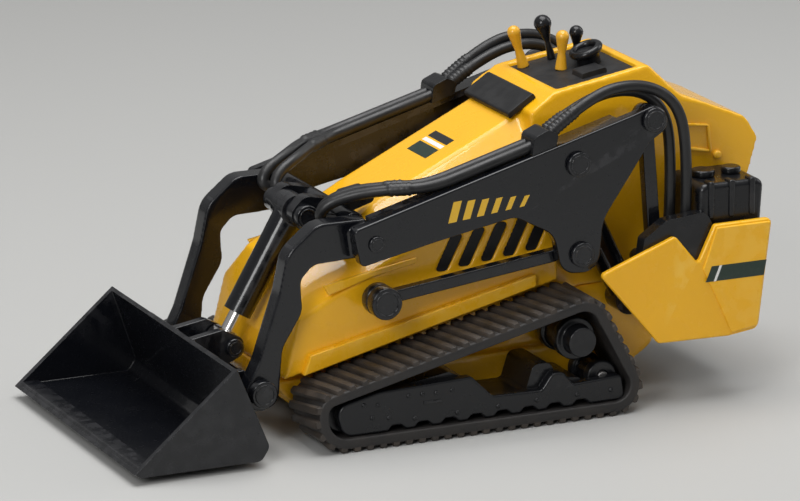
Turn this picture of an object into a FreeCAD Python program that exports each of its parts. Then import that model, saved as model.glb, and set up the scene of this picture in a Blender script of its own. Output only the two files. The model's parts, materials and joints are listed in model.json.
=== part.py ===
import FreeCAD, Part
import math
import os

# Die-cast model of a stand-on tracked loader, millimetres.
# +X points forward to the bucket, +Y to the machine's left, +Z up; the tracks rest on Z = 0.

doc = FreeCAD.newDocument("tracked_loader")
V = FreeCAD.Vector
SIDES = {"left": 1, "right": -1}

SIZES = {
    "body_half": 13.0,          # body side at the louvres
    "hips_half": 9.9,           # narrower body behind the arms' legs
    "chassis_half": 11.0,       # sill between the tracks
    "waist_half": 9.8,          # chassis above the sill
    "console_half": 7.85,
    "hood_pad_half": 7.1,
    "belt_inner": 11.6,
    "belt_width": 9.4,
    "belt_thick": 2.0,
    "frame_inner": 18.9,
    "frame_plate": 1.4,
    "beam_inner": 11.0,
    "wheel_inner": 12.2,
    "wheel_width": 6.4,
    "axle_radius": 0.8,
    "wheel_bore": 0.86,
    "drive_radius": 3.0,
    "rear_idler_radius": 2.25,
    "front_idler_radius": 2.45,
    "link_inner": 14.9,
    "link_plate": 1.7,
    "arm_inner": 16.9,
    "arm_plate": 1.6,
    "leg_inner": 12.4,
    "leg_plate": 3.0,
    "flange_plate": 1.0,
    "pin_radius": 1.0,
    "pin_bore": 1.06,
    "head_radius": 1.75,
    "lift_centre": 12.4,
    "lift_barrel_radius": 1.95,
    "lift_rod_radius": 1.0,
    "tilt_barrel_radius": 2.0,
    "tilt_rod_radius": 1.05,
    "cross_radius": 1.6,
    "hose_radius": 0.8,
    "hose_gap": 1.7,
    "hose_centre": 16.0,
    "bucket_half": 22.4,
    "bucket_wall": 0.9,
    "guard_inner": 20.0,
    "guard_plate": 1.0,
    "tank_width": 9.0,
}

sheet = doc.addObject("Spreadsheet::Sheet", "sizes")
for row, (alias, value) in enumerate(SIZES.items(), start=1):
    sheet.set("A%d" % row, alias)
    sheet.set("B%d" % row, str(value))
    sheet.setAlias("B%d" % row, alias)
doc.recompute()


def size(alias):
    return float(getattr(sheet, alias))


# Pivots in the side view (x, z). The lift linkage is a four-bar: control link A-B, arm B-C, rear link C-D.
PIVOT_A = (11.3, 19.6)
PIVOT_B = (-18.1, 23.2)
PIVOT_C = (-28.95, 41.15)
PIVOT_D = (-30.8, 19.5)
LIFT_FOOT = (-28.0, 14.5)
LIFT_EYE = (-17.4, 36.1)
BUCKET_PIVOT = (28.75, 8.5)
TILT_TOP = (17.4, 29.3)
TILT_FOOT = (27.7, 11.6)
CROSS_TUBE = (13.4, 29.6)
DRIVE_CENTRE = (-17.3, 11.2)
REAR_IDLER = (-21.4, 5.2)
FRONT_IDLER = (18.1, 4.8)
ARM_SLOPE = -0.277
ARM_TOP = 34.9
BELT_OUTLINE = [(23.0, 0.0, 5.0), (23.0, 8.3, 3.2), (-19.6, 18.3, 4.5), (-29.6, 0.0, 4.3)]

nodes = []


def keep(item, label):
    item.Label = label
    nodes.append(item)
    return item


# ---------------------------------------------------------------- outlines and basic solids

def rounded_edges(points):
    """Closed outline as lines and tangent arcs; a point is (x, z) or (x, z, radius)."""
    corners = []
    count = len(points)
    for i, point in enumerate(points):
        here = V(point[0], point[1], 0)
        radius = point[2] if len(point) > 2 else 0.0
        before = V(*points[i - 1][:2], 0) - here
        after = V(*points[(i + 1) % count][:2], 0) - here
        if radius == 0.0:
            corners.append((here, None, here))
            continue
        before.normalize()
        after.normalize()
        half = before.getAngle(after) / 2
        reach = radius / math.tan(half)
        middle = (before + after).normalize()
        centre = here + middle * (radius / math.sin(half))
        corners.append((here + before * reach, centre - middle * radius, here + after * reach))
    edges = []
    for i, (start, bend, end) in enumerate(corners):
        if bend is not None:
            edges.append(Part.Arc(start, bend, end))
        following = corners[(i + 1) % count][0]
        if end.distanceToPoint(following) > 1e-6:
            edges.append(Part.LineSegment(end, following))
    return edges


def origin_plane(body, role):
    for feature in body.Origin.OriginFeatures:
        if feature.Role == role:
            return feature
    raise ValueError(role)


def add_sketch(body, plane, edges, offset="0"):
    sketch = body.newObject("Sketcher::SketchObject", body.Name + "_outline")
    sketch.AttachmentSupport = [(origin_plane(body, plane), "")]
    sketch.MapMode = "FlatFace"
    sketch.addGeometry(edges, False)
    sketch.setExpression(".AttachmentOffset.Base.z", offset)
    return sketch


def add_pad(body, points, inner, thickness, sign):
    """Pad an XZ outline between y = inner and inner + thickness on one side of the machine."""
    offset = "-(%s + %s)" % (inner, thickness) if sign > 0 else inner
    sketch = add_sketch(body, "XZ_Plane", rounded_edges(points), offset)
    pad = body.newObject("PartDesign::Pad", body.Name + "_pad")
    pad.Profile = sketch
    pad.setExpression("Length", thickness)
    return pad


def side_plate(label, points, inner, thickness, sign):
    body = doc.addObject("PartDesign::Body", label)
    add_pad(body, points, inner, thickness, sign)
    return body


def centred_plate(label, points, half):
    """Pad an XZ outline symmetrically about the machine's centre plane."""
    body = doc.addObject("PartDesign::Body", label)
    sketch = add_sketch(body, "XZ_Plane", rounded_edges(points))
    pad = body.newObject("PartDesign::Pad", label + "_pad")
    pad.Profile = sketch
    pad.Midplane = True
    pad.setExpression("Length", "2 * (%s)" % half)
    return body


def soften(body, radius, sign, reach):
    """Round the edges of the face that lies at y = sign * reach."""
    doc.recompute()
    base = body.Tip
    chosen = []
    for index, edge in enumerate(base.Shape.Edges, start=1):
        box = edge.BoundBox
        if abs(box.YMin - sign * reach) < 1e-4 and abs(box.YMax - sign * reach) < 1e-4:
            chosen.append("Edge%d" % index)
    fillet = body.newObject("PartDesign::Fillet", body.Name + "_soft_edge")
    fillet.Base = (base, chosen)
    fillet.Radius = radius
    doc.recompute()
    if "Invalid" in fillet.State or not fillet.Shape.isValid():
        raise ValueError("soft edge failed on " + body.Name)
    return body


def across(name, point, start, length, radius):
    """Cylinder parallel to Y from y = start, at (x, z); length and radius are expressions."""
    cylinder = doc.addObject("Part::Cylinder", name)
    cylinder.Placement = FreeCAD.Placement(V(point[0], 0, point[1]), FreeCAD.Rotation(V(1, 0, 0), -90))
    cylinder.setExpression("Radius", radius)
    cylinder.setExpression("Height", length)
    cylinder.setExpression(".Placement.Base.y", start)
    return cylinder


def across_side(name, point, inner, length, radius, sign):
    start = inner if sign > 0 else "-(%s + %s)" % (inner, length)
    return across(name, point, start, length, radius)


def along(name, start, end, y, radius):
    """Cylinder from start to end in the side view (x, z) at one y."""
    cylinder = doc.addObject("Part::Cylinder", name)
    run = V(end[0] - start[0], 0, end[1] - start[1])
    turn = FreeCAD.Rotation(V(0, 0, 1), run)
    cylinder.Placement = FreeCAD.Placement(V(start[0], y, start[1]), turn)
    cylinder.setExpression("Radius", radius)
    cylinder.Height = run.Length
    return cylinder


def block(name, low, high):
    box = doc.addObject("Part::Box", name)
    box.Length = high[0] - low[0]
    box.Width = high[1] - low[1]
    box.Height = high[2] - low[2]
    box.Placement = FreeCAD.Placement(V(*low), FreeCAD.Rotation())
    return box


def fuse(name, pieces):
    if len(pieces) == 1:
        return pieces[0]
    joined = doc.addObject("Part::MultiFuse", name)
    joined.Shapes = pieces
    return joined


def cut(name, base, tool):
    result = doc.addObject("Part::Cut", name)
    result.Base = base
    result.Tool = tool
    return result


def group(name, pieces):
    together = doc.addObject("Part::Compound", name)
    together.Links = pieces
    return together


def between(start, end, distance):
    """Point at a distance from start towards end."""
    length = math.hypot(end[0] - start[0], end[1] - start[1])
    share = distance / length
    return (start[0] + share * (end[0] - start[0]), start[1] + share * (end[1] - start[1]))


def arm_top(x):
    return ARM_TOP + ARM_SLOPE * x


# ---------------------------------------------------------------- body castings

SPLIT_FRONT = (24.2, 8.9)
SPLIT_MIDDLE = (-5.3, 15.5)
SPLIT_REAR = (-34.0, 16.2)


def lower_chassis():
    """Yellow lower casting: a waist, a wider sill between the tracks and holes for the axles."""
    body = doc.addObject("PartDesign::Body", "chassis_casting")
    waist = [(24.9, 6.8, 1.0), SPLIT_FRONT, SPLIT_MIDDLE, SPLIT_REAR, (-34.0, 6.2, 2.0),
             (-30.0, 3.6, 2.0), (21.0, 3.6, 2.0)]
    sill = [(24.0, 8.2), (24.6, 7.4, 0.5), (21.0, 4.0, 1.5), (-27.0, 4.0, 1.5), (-27.5, 8.2)]
    sketch = add_sketch(body, "XZ_Plane", rounded_edges(waist))
    pad = body.newObject("PartDesign::Pad", "waist_pad")
    pad.Profile = sketch
    pad.Midplane = True
    pad.setExpression("Length", "2 * sizes.waist_half")
    sketch = add_sketch(body, "XZ_Plane", rounded_edges(sill))
    pad = body.newObject("PartDesign::Pad", "sill_pad")
    pad.Profile = sketch
    pad.Midplane = True
    pad.setExpression("Length", "2 * sizes.chassis_half")
    holes = []
    for name, centre in (("drive", DRIVE_CENTRE), ("rear", REAR_IDLER), ("front", FRONT_IDLER)):
        holes.append(across(name + "_axle_hole", centre, "-sizes.body_half",
                            "2 * sizes.body_half", "sizes.axle_radius"))
    keep(cut("lower_chassis_cut", body, fuse("axle_holes", holes)), "lower_chassis")


SIDE_OUTLINE = [SPLIT_FRONT, (20.7, 22.4, 1.2), (7.0, 30.8, 1.0), (-12.0, 39.9, 1.5),
                (-18.3, 44.0, 1.0), (-33.0, 46.4, 1.0), (-37.6, 41.9, 3.0), (-48.0, 37.6, 2.2),
                (-50.0, 34.4, 1.2), (-48.6, 29.5, 1.5), (-46.5, 24.0, 1.0), (-34.0, 24.0),
                SPLIT_REAR, SPLIT_MIDDLE]


def louvre(index):
    """Outline of one leaning louvre slot; the first is the front one."""
    foot = 0.6 - 3.4 * index
    lean = 2.6
    half = 0.95
    low = 21.4 + 0.35 * index
    high = 26.6 + 0.45 * index
    return [(foot + half, low, 0.4), (foot - half, low, 0.4),
            (foot - half - lean, high, 0.4), (foot + half - lean, high, 0.4)]


def body_shell():
    """Yellow upper casting: side outline, trimmed to the bevelled hood and to the narrow hips."""
    side = centred_plate("shell_side", SIDE_OUTLINE, "sizes.body_half")
    hood = doc.addObject("PartDesign::Body", "shell_hood")
    slope = 0.479
    front = 27.0
    rear = -14.5
    rise = slope * (front - 7.0)
    profile = [(-13.0, -40.0), (13.0, -40.0), (13.0, 24.3 - rise), (9.0, 28.0 - rise, 1.5),
               (6.2, 30.9 - rise, 1.0), (-6.2, 30.9 - rise, 1.0), (-9.0, 28.0 - rise, 1.5),
               (-13.0, 24.3 - rise)]
    hood_face = add_sketch(hood, "YZ_Plane", rounded_edges(profile), "%f" % front)
    pad = hood.newObject("PartDesign::Pad", "hood_pad_up_slope")
    pad.Profile = hood_face
    pad.UseCustomVector = True
    pad.Direction = V(-1, 0, slope)
    pad.AlongSketchNormal = True
    pad.Length = front - rear
    hips = doc.addObject("PartDesign::Body", "shell_hips")
    half = size("hips_half")
    profile = [(-half, 10.0), (half, 10.0), (half, 41.0, 3.0), (half - 1.0, 47.5), (1.0 - half, 47.5),
               (-half, 41.0, 3.0)]
    hips_face = add_sketch(hips, "YZ_Plane", rounded_edges(profile), "%f" % rear)
    pad = hips.newObject("PartDesign::Pad", "hips_pad_back")
    pad.Profile = hips_face
    pad.Reversed = True
    pad.Length = 40.0
    side_tail = block("shell_side_tail", (-17.2, -13.0, 16.0), (-14.0, 13.0, 27.8))
    envelope = fuse("shell_envelope", [hood, hips, side_tail])
    shell = doc.addObject("Part::Common", "shell_common")
    shell.Base = side
    shell.Tool = envelope
    channel = centred_plate("tilt_channel", [(13.6, 30.6), (25.5, 8.6), (30.0, 8.0), (30.0, 33.0), (13.6, 33.0)],
                            "sizes.tilt_barrel_radius + 0.5")
    recess = centred_plate("console_recess", [(-19.2, 48.0), (-19.2, 43.0), (-31.8, 45.1), (-31.8, 48.0)],
                           "sizes.console_half")
    slots = []
    for name, sign in SIDES.items():
        slots.append(side_plate("belt_relief_" + name, [(-3.0, 13.0), (-3.0, 14.8), (-18.0, 18.4), (-18.0, 15.0)],
                                "sizes.belt_inner - 0.5", "2.5", sign))
        for index in range(5):
            slots.append(side_plate("louvre_slot_%s_%d" % (name, index), louvre(index), "11.8", "2.0", sign))
    keep(cut("body_shell_cut", shell, fuse("shell_tools", [channel, recess] + slots)), "body_shell")
    slats = []
    for name, sign in SIDES.items():
        for index in range(5):
            slats.append(side_plate("louvre_slat_%s_%d" % (name, index), louvre(index), "11.8", "0.9", sign))
    keep(group("louvre_group", slats), "side_louvres")


def console():
    """Rubber console mat with its raised block, hood pad, four levers and the cup ring."""
    pad = centred_plate("hood_pad_body", [(-12.6, 40.31), (-16.6, 42.92), (-16.15, 43.7, 0.4), (-12.15, 41.1, 0.4)],
                        "sizes.hood_pad_half")
    keep(pad, "hood_pad")
    levers = [
        lever("drive_lever_left", (-24.3, -0.8, 44.4), (-24.5, -0.8, 49.1), 0.55, 0.95),
        lever("drive_lever_right", (-21.2, -6.4, 43.9), (-19.7, -6.5, 49.0), 0.55, 0.95),
        lever("loader_lever", (-25.6, -6.3, 44.6), (-24.2, -6.5, 49.8), 0.4, 1.25),
        lever("auxiliary_lever", (-28.2, -3.8, 45.1), (-28.0, -3.5, 48.8), 0.45, 1.0),
    ]
    ring = doc.addObject("Part::Torus", "cup_ring_torus")
    ring.Radius1 = 1.9
    ring.Radius2 = 0.55
    ring.Placement = FreeCAD.Placement(V(-27.7, 0.1, 47.1), FreeCAD.Rotation(V(0, 1, 0), 22))
    post = doc.addObject("Part::Cylinder", "cup_ring_post")
    post.Radius = 1.7
    post.Height = 2.2
    post.Placement = FreeCAD.Placement(V(-28.3, 0.1, 44.9), FreeCAD.Rotation(V(0, 1, 0), 14))
    cup = keep(fuse("cup_ring_body", [ring, post]), "cup_ring")
    flat = centred_plate("console_mat_flat", [(-19.2, 43.6), (-19.2, 43.0), (-31.8, 45.1), (-31.8, 45.7)],
                         "sizes.console_half")
    raised = side_plate("console_mat_block", [(-24.3, 43.9), (-24.5, 45.2, 0.3), (-28.1, 45.8, 0.3), (-28.3, 44.6)],
                        "2.5", "3.2", 1)
    mat = fuse("console_mat_body", [flat, raised])
    keep(cut("console_mat_cut", mat, fuse("console_posts", levers + [cup])), "console_mat")


def lever(label, foot, top, stem, knob):
    """Turned lever: a tapering stem with a rounded grip, standing on the console mat."""
    run = V(*top) - V(*foot)
    turn = FreeCAD.Rotation(V(0, 0, 1), run)
    cone = doc.addObject("Part::Cone", label + "_stem")
    cone.Radius1 = stem * 1.6
    cone.Radius2 = stem
    cone.Height = run.Length * 0.5
    cone.Placement = FreeCAD.Placement(V(*foot), turn)
    grip = doc.addObject("Part::Cone", label + "_grip")
    grip.Radius1 = stem
    grip.Radius2 = knob
    grip.Height = run.Length * 0.5
    grip.Placement = FreeCAD.Placement(V(*foot) + run * 0.5, turn)
    ball = doc.addObject("Part::Sphere", label + "_ball")
    ball.Radius = knob
    ball.Placement = FreeCAD.Placement(V(*top), turn)
    return keep(fuse(label + "_body", [cone, grip, ball]), label)


def rear_parts():
    """Side tanks with caps, yellow guards outside them, and the standing platform between them."""
    caps = []
    for name, sign in SIDES.items():
        tank = side_plate("tank_%s_body" % name,
                          [(-36.2, 10.6, 1.0), (-36.2, 31.0, 1.2), (-46.3, 31.0, 1.2), (-45.0, 10.6, 1.0)],
                          "sizes.hips_half", "sizes.tank_width", sign)
        soften(tank, 0.8, sign, size("hips_half") + size("tank_width"))
        bridge = side_plate("tank_pad_%s" % name,
                            [(-33.2, 12.0), (-26.6, 21.6, 0.6), (-27.0, 24.6, 0.8), (-30.4, 26.9, 1.0),
                             (-36.6, 27.5, 1.5), (-39.0, 23.0, 0.5), (-44.6, 23.0), (-43.6, 12.0)],
                            "18.0", "(sizes.guard_inner - 18.0)", sign)
        keep(fuse("tank_%s_joined" % name, [tank, bridge]), "side_tank_" + name)
        cap_y = 14.2 * sign
        for x, radius in ((-39.0, 1.7), (-43.4, 1.4)):
            cap = doc.addObject("Part::Cylinder", "cap_%s" % name)
            cap.Radius = radius
            cap.Height = 1.0
            cap.Placement = FreeCAD.Placement(V(x, cap_y, 31.0), FreeCAD.Rotation())
            caps.append(cap)
        guard = side_plate("guard_%s_body" % name,
                           [(-19.8, 20.5, 0.6), (-31.4, 24.8, 0.8), (-35.0, 20.5, 0.4), (-37.5, 25.75, 0.6),
                            (-46.5, 25.8, 0.8), (-44.6, 10.0, 1.2), (-40.0, 9.4, 1.0), (-29.0, 9.6, 0.8)],
                           "sizes.guard_inner", "sizes.guard_plate", sign)
        soften(guard, 0.35, sign, 21.0)
        keep(guard, "side_guard_" + name)
    keep(group("tank_caps_group", caps), "tank_caps")
    half = size("hips_half")
    keep(block("platform_box", (-47.0, -half, 8.6), (-34.0, half, 10.4)), "operator_platform")


def underside():
    """Black base plate under the casting, held by two screws."""
    plate = block("base_plate_box", (-26.0, -7.5, 2.8), (18.0, 7.5, 3.6))
    seats = []
    heads = []
    for x in (-20.0, 12.0):
        for name, items, radius, low, height in (("seat", seats, 1.5, 2.8, 0.4), ("head", heads, 1.5, 2.8, 0.4)):
            disc = doc.addObject("Part::Cylinder", "screw_%s" % name)
            disc.Radius = radius
            disc.Height = height
            disc.Placement = FreeCAD.Placement(V(x, 0, low), FreeCAD.Rotation())
            items.append(disc)
    keep(cut("base_plate_cut", plate, fuse("screw_seats", seats)), "base_plate")
    keep(group("base_screws_group", heads), "base_screws")


# ---------------------------------------------------------------- tracks

def shrink(points, distance):
    """Offset a convex outline inwards, keeping its corners concentric."""
    moved = []
    count = len(points)
    for i in range(count):
        here = V(points[i][0], points[i][1], 0)
        before = (V(*points[i - 1][:2], 0) - here).normalize()
        after = (V(*points[(i + 1) % count][:2], 0) - here).normalize()
        half = before.getAngle(after) / 2
        inward = (before + after).normalize() * (distance / math.sin(half))
        moved.append((here.x + inward.x, here.y + inward.y, points[i][2] - distance))
    return moved


def wheel(label, centre, radius, bore_depth, sign, hub):
    """Moulded wheel: two rims and a core on one axis, bored from the inside for its axle."""
    inner = "sizes.wheel_inner"
    width = "sizes.wheel_width"
    core = across_side(label + "_core", centre, inner, width, "%s - 0.5" % radius, sign)
    pieces = [core]
    for index, start in enumerate(("%s" % inner, "(%s + %s - 1.6)" % (inner, width))):
        pieces.append(across_side("%s_rim_%d" % (label, index), centre, start, "1.6", radius, sign))
    if hub:
        pieces.append(across_side(label + "_hub", centre, "(%s + %s)" % (inner, width), "2.2", "2.1", sign))
    bore = across_side(label + "_bore", centre, "(%s - 1)" % inner, bore_depth, "sizes.wheel_bore", sign)
    keep(cut(label + "_cut", fuse(label + "_solid", pieces), bore), label)


def track(name, sign):
    belt = doc.addObject("PartDesign::Body", "belt_%s_body" % name)
    outline = rounded_edges(BELT_OUTLINE) + rounded_edges(shrink(BELT_OUTLINE, size("belt_thick")))
    offset = "-(sizes.belt_inner + sizes.belt_width)" if sign > 0 else "sizes.belt_inner"
    sketch = add_sketch(belt, "XZ_Plane", outline, offset)
    pad = belt.newObject("PartDesign::Pad", "belt_%s_pad" % name)
    pad.Profile = sketch
    pad.setExpression("Length", "sizes.belt_width")
    keep(belt, "track_belt_" + name)

    frame = doc.addObject("PartDesign::Body", "frame_%s_body" % name)
    scallops = []
    for index in range(8):
        x = 12.0 - 4.0 * index
        scallops += [(x, 2.1, 0.3), (x - 0.7, 2.8, 0.5), (x - 2.0, 2.8, 0.5), (x - 2.7, 2.1, 0.3)]
    face = scallops + [
        (-24.2, 2.1, 0.8), (-23.6, 5.7, 0.6), (-16.2, 5.3, 0.6), (-14.6, 7.2, 1.0), (-12.9, 7.2, 1.0),
        (-11.3, 5.0, 0.6), (-3.8, 5.2, 0.8), (-0.6, 8.3, 1.0), (13.2, 7.9, 6.0), (19.8, 6.4, 1.8),
        (18.6, 2.1, 1.9)]
    add_pad(frame, face[::-1], "sizes.frame_inner", "sizes.frame_plate", sign)
    soften(frame, 0.35, sign, 20.3)
    beam = [(14.8, 2.4), (-18.2, 2.4), (-18.2, 5.6, 1.0), (-14.2, 6.2, 0.8), (-13.2, 8.4, 1.2),
            (-10.6, 8.4, 1.2), (-9.4, 4.6, 0.8), (-4.0, 4.6, 1.0), (-0.5, 7.6, 1.0), (2.2, 9.0, 1.0),
            (9.5, 7.9, 2.0), (14.8, 6.6, 1.0)]
    add_pad(frame, beam, "sizes.beam_inner", "(sizes.frame_inner - sizes.beam_inner)", sign)
    keep(frame, "track_frame_" + name)

    wheel("drive_wheel_" + name, DRIVE_CENTRE, "sizes.drive_radius", "(sizes.wheel_width + 0.3)", sign, True)
    wheel("rear_idler_" + name, REAR_IDLER, "sizes.rear_idler_radius", "(sizes.wheel_width + 2)", sign, False)
    wheel("front_idler_" + name, FRONT_IDLER, "sizes.front_idler_radius", "(sizes.wheel_width + 2)", sign, False)


def axles():
    """Three plain steel axles that cross the lower casting."""
    reach = "2 * sizes.frame_inner"
    rods = [across("drive_axle_rod", DRIVE_CENTRE, "-17.4", "34.8", "sizes.axle_radius"),
            across("rear_axle_rod", REAR_IDLER, "-sizes.frame_inner", reach, "sizes.axle_radius"),
            across("front_axle_rod", FRONT_IDLER, "-sizes.frame_inner", reach, "sizes.axle_radius")]
    keep(group("axle_group", rods), "track_axles")


# ---------------------------------------------------------------- loader linkage

def link_bar(label, start, end, start_radius, end_radius, width, sign, bores):
    """Flat link with two round eyes; an eye that turns on a pin has a running bore."""
    inner = "sizes.link_inner"
    plate = "sizes.link_plate"
    run = V(end[0] - start[0], end[1] - start[1], 0).normalize()
    normal = V(-run.y, run.x, 0) * (width / 2)
    bar = [(start[0] + normal.x, start[1] + normal.y), (end[0] + normal.x, end[1] + normal.y),
           (end[0] - normal.x, end[1] - normal.y), (start[0] - normal.x, start[1] - normal.y)]
    pieces = [side_plate(label + "_bar", bar, inner, plate, sign),
              across_side(label + "_eye_a", start, inner, plate, start_radius, sign),
              across_side(label + "_eye_b", end, inner, plate, end_radius, sign)]
    solid = fuse(label + "_solid", pieces)
    tools = []
    for index, point in enumerate(bores):
        tools.append(across_side("%s_bore_%d" % (label, index), point, "14.0", "4.0", "sizes.pin_bore", sign))
    keep(cut(label + "_cut", solid, fuse(label + "_bores", tools)), label)


def pin_with_head(name, point, start, end, head, sign):
    """Pin shank from start to end in |y| with a round head outside it."""
    shank = across_side(name + "_shank", point, "%f" % start, "%f" % (end - start), "sizes.pin_radius", sign)
    top = across_side(name + "_head", point, "%f" % end, "%f" % head[1], "%f" % head[0], sign)
    return fuse(name, [shank, top])


def fixed_pins():
    """Pins that the castings carry: front link pivots, rear link pivots and lift cylinder feet."""
    front = []
    rear = []
    feet = []
    for name, sign in SIDES.items():
        front.append(pin_with_head("front_pin_" + name, PIVOT_A, 13.0, 16.7, (2.25, 2.0), sign))
        rear.append(pin_with_head("rear_pin_" + name, PIVOT_D, size("hips_half"), 16.7, (1.7, 0.6), sign))
        feet.append(across_side("foot_pin_" + name, LIFT_FOOT, "9.8", "4.6", "sizes.pin_radius", sign))
    keep(group("front_pins_group", front), "control_link_pins")
    keep(group("rear_pins_group", rear), "rear_link_pins")
    keep(group("foot_pins_group", feet), "lift_foot_pins")


def lift_cylinder(name, sign):
    y = sign * size("lift_centre")
    eye_inner = "(sizes.lift_centre - 1.7)"
    collar = between(LIFT_FOOT, LIFT_EYE, 17.6)
    tube = along("lift_tube_" + name, LIFT_FOOT, collar, y, "sizes.lift_barrel_radius")
    eye = across_side("lift_foot_eye_" + name, LIFT_FOOT, eye_inner, "3.4", "2.3", sign)
    gland = along("lift_gland_" + name, between(LIFT_FOOT, LIFT_EYE, 16.4), collar, y, "2.05")
    bore = across_side("lift_foot_bore_" + name, LIFT_FOOT, "9.0", "7.0", "sizes.pin_bore", sign)
    hollow = along("lift_hollow_" + name, between(LIFT_FOOT, LIFT_EYE, 3.4),
                   between(LIFT_FOOT, LIFT_EYE, 19.0), y, "sizes.lift_rod_radius + 0.05")
    barrel = fuse("lift_barrel_%s_solid" % name, [tube, eye, gland])
    keep(cut("lift_barrel_%s_cut" % name, barrel, fuse("lift_holes_" + name, [bore, hollow])),
         "lift_barrel_" + name)
    rod = along("lift_rod_%s_bar" % name, between(LIFT_FOOT, LIFT_EYE, 3.8), LIFT_EYE, y,
                "sizes.lift_rod_radius")
    head = across_side("lift_rod_%s_eye" % name, LIFT_EYE, "(sizes.lift_centre - 1.3)", "2.6", "1.9", sign)
    keep(fuse("lift_rod_%s_solid" % name, [rod, head]), "lift_rod_" + name)


ARM_PLATE = [(16.2, 30.4, 0.8), (15.1, 25.1, 0.8), (4.1, 27.4, 3.0), (-8.0, 29.6, 3.0), (-14.0, 26.4, 3.5),
             (-15.2, 20.6, 2.6), (-20.9, 20.4, 2.6), (-21.4, 27.6, 6.0), (-28.6, 38.0, 2.0),
             (-31.5, 39.8, 2.0), (-30.6, 43.6, 2.2), (-26.0, 42.1, 2.0)]
ARM_LEG = [(13.0, 31.0), (20.2, 31.0, 3.0), (24.6, 27.4, 4.0), (25.8, 21.8, 8.0), (28.9, 12.6, 3.0),
           (31.6, 7.2, 2.2), (28.6, 5.4, 2.3), (26.0, 6.8, 2.2), (25.4, 14.2, 4.0), (22.4, 19.0, 3.0),
           (22.7, 23.4, 1.5), (20.8, 25.4, 2.0), (13.0, 25.7)]
LEG_STEP = [(13.0, 30.6), (15.6, 29.8, 0.6), (15.0, 26.0, 0.6), (13.0, 26.3)]
TILT_EAR = [(12.4, 31.0, 0.6), (17.2, 32.0, 1.6), (19.8, 29.6, 1.6), (17.6, 26.8, 1.6), (12.6, 28.0, 0.6)]


def arm_side(name, sign):
    plate = side_plate("arm_plate_%s_body" % name, ARM_PLATE, "sizes.arm_inner", "sizes.arm_plate", sign)
    soften(plate, 0.3, sign, size("arm_inner") + size("arm_plate"))
    flange = size("flange_plate")
    top = [(12.9, arm_top(12.9)), (12.9, arm_top(12.9) - flange), (-24.0, arm_top(-24.0) - flange),
           (-24.0, arm_top(-24.0))]
    add_pad(plate, top, "sizes.link_inner", "(sizes.arm_inner - sizes.link_inner)", sign)
    pin_hole = across_side("arm_pin_hole_" + name, PIVOT_C, "sizes.arm_inner", "sizes.arm_plate",
                           "sizes.pin_radius", sign)
    keep(cut("arm_side_%s_cut" % name, plate, pin_hole), "arm_side_" + name)
    leg = doc.addObject("PartDesign::Body", "arm_leg_%s_body" % name)
    add_pad(leg, ARM_LEG, "sizes.leg_inner", "sizes.leg_plate", sign)
    add_pad(leg, LEG_STEP, "(sizes.leg_inner + sizes.leg_plate)",
            "(sizes.arm_inner - sizes.leg_inner - sizes.leg_plate)", sign)
    bore = across_side("arm_leg_bore_" + name, BUCKET_PIVOT, "(sizes.leg_inner - 1)", "5.0", "sizes.pin_bore", sign)
    keep(cut("arm_leg_%s_cut" % name, leg, bore), "arm_leg_" + name)


def arm_cross_parts():
    """Cross tube between the arms, the tilt cylinder's ears on it and the auxiliary coupler block."""
    keep(across("cross_tube_rod", CROSS_TUBE, "-sizes.leg_inner", "2 * sizes.leg_inner",
                "sizes.cross_radius"), "arm_cross_tube")
    bore = across("tilt_ear_bore", TILT_TOP, "-8", "16", "sizes.pin_radius")
    tube_hole = across("tilt_ear_tube_hole", CROSS_TUBE, "-8", "16", "sizes.cross_radius")
    ears = []
    for name, sign in SIDES.items():
        ears.append(side_plate("tilt_ear_" + name, TILT_EAR, "2.3", "2.2", sign))
    keep(cut("tilt_ears_cut", group("tilt_ears_group", ears), fuse("tilt_ear_holes", [bore, tube_hole])),
         "tilt_ears")
    coupler = [(13.8, 30.6), (12.6, 32.6, 0.8), (9.0, 33.2, 1.0), (8.2, 31.3, 0.8), (11.8, 30.2)]
    coupler_body = side_plate("coupler_body", coupler, "4.8", "3.4", 1)
    coupler_hole = across("coupler_tube_hole", CROSS_TUBE, "-8", "20", "sizes.cross_radius")
    keep(cut("coupler_cut", coupler_body, coupler_hole), "auxiliary_coupler")


def arm_fasteners():
    """Rivet heads on the outer plates, the rear pivot pins and the tilt cylinder's upper pin."""
    rivets = []
    pins = []
    for name, sign in SIDES.items():
        rivets.append(across_side("rivet_b_" + name, PIVOT_B, "18.5", "0.7", "sizes.head_radius", sign))
        rivets.append(across_side("rivet_eye_" + name, LIFT_EYE, "18.5", "0.7", "sizes.head_radius", sign))
        rivets.append(across_side("rivet_front_" + name, (12.9, 28.2), "18.5", "0.4", "1.15", sign))
        pins.append(pin_with_head("rear_pivot_pin_" + name, PIVOT_C, 14.7, 18.5,
                                  (size("head_radius"), 0.7), sign))
    keep(group("arm_rivets_group", rivets), "arm_rivets")
    keep(group("rear_pivot_pins_group", pins), "rear_pivot_pins")
    shank = across("tilt_pin_shank", TILT_TOP, "-4.5", "9.0", "sizes.pin_radius")
    heads = [across_side("tilt_pin_head_" + name, TILT_TOP, "4.5", "1.4", "1.7", sign)
             for name, sign in SIDES.items()]
    keep(fuse("tilt_pin_solid", [shank] + heads), "tilt_top_pin")


# ---------------------------------------------------------------- hoses

OUTER_LOOP = [(-12.4, 39.3), (-19.5, 45.0), (-27.5, 46.3), (-33.8, 42.8), (-35.2, 34.5), (-35.0, 26.6)]
INNER_LOOP = [(-12.4, 39.3), (-19.5, 44.2), (-27.5, 45.2), (-32.4, 41.8), (-33.6, 34.5), (-33.3, 25.6)]


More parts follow.
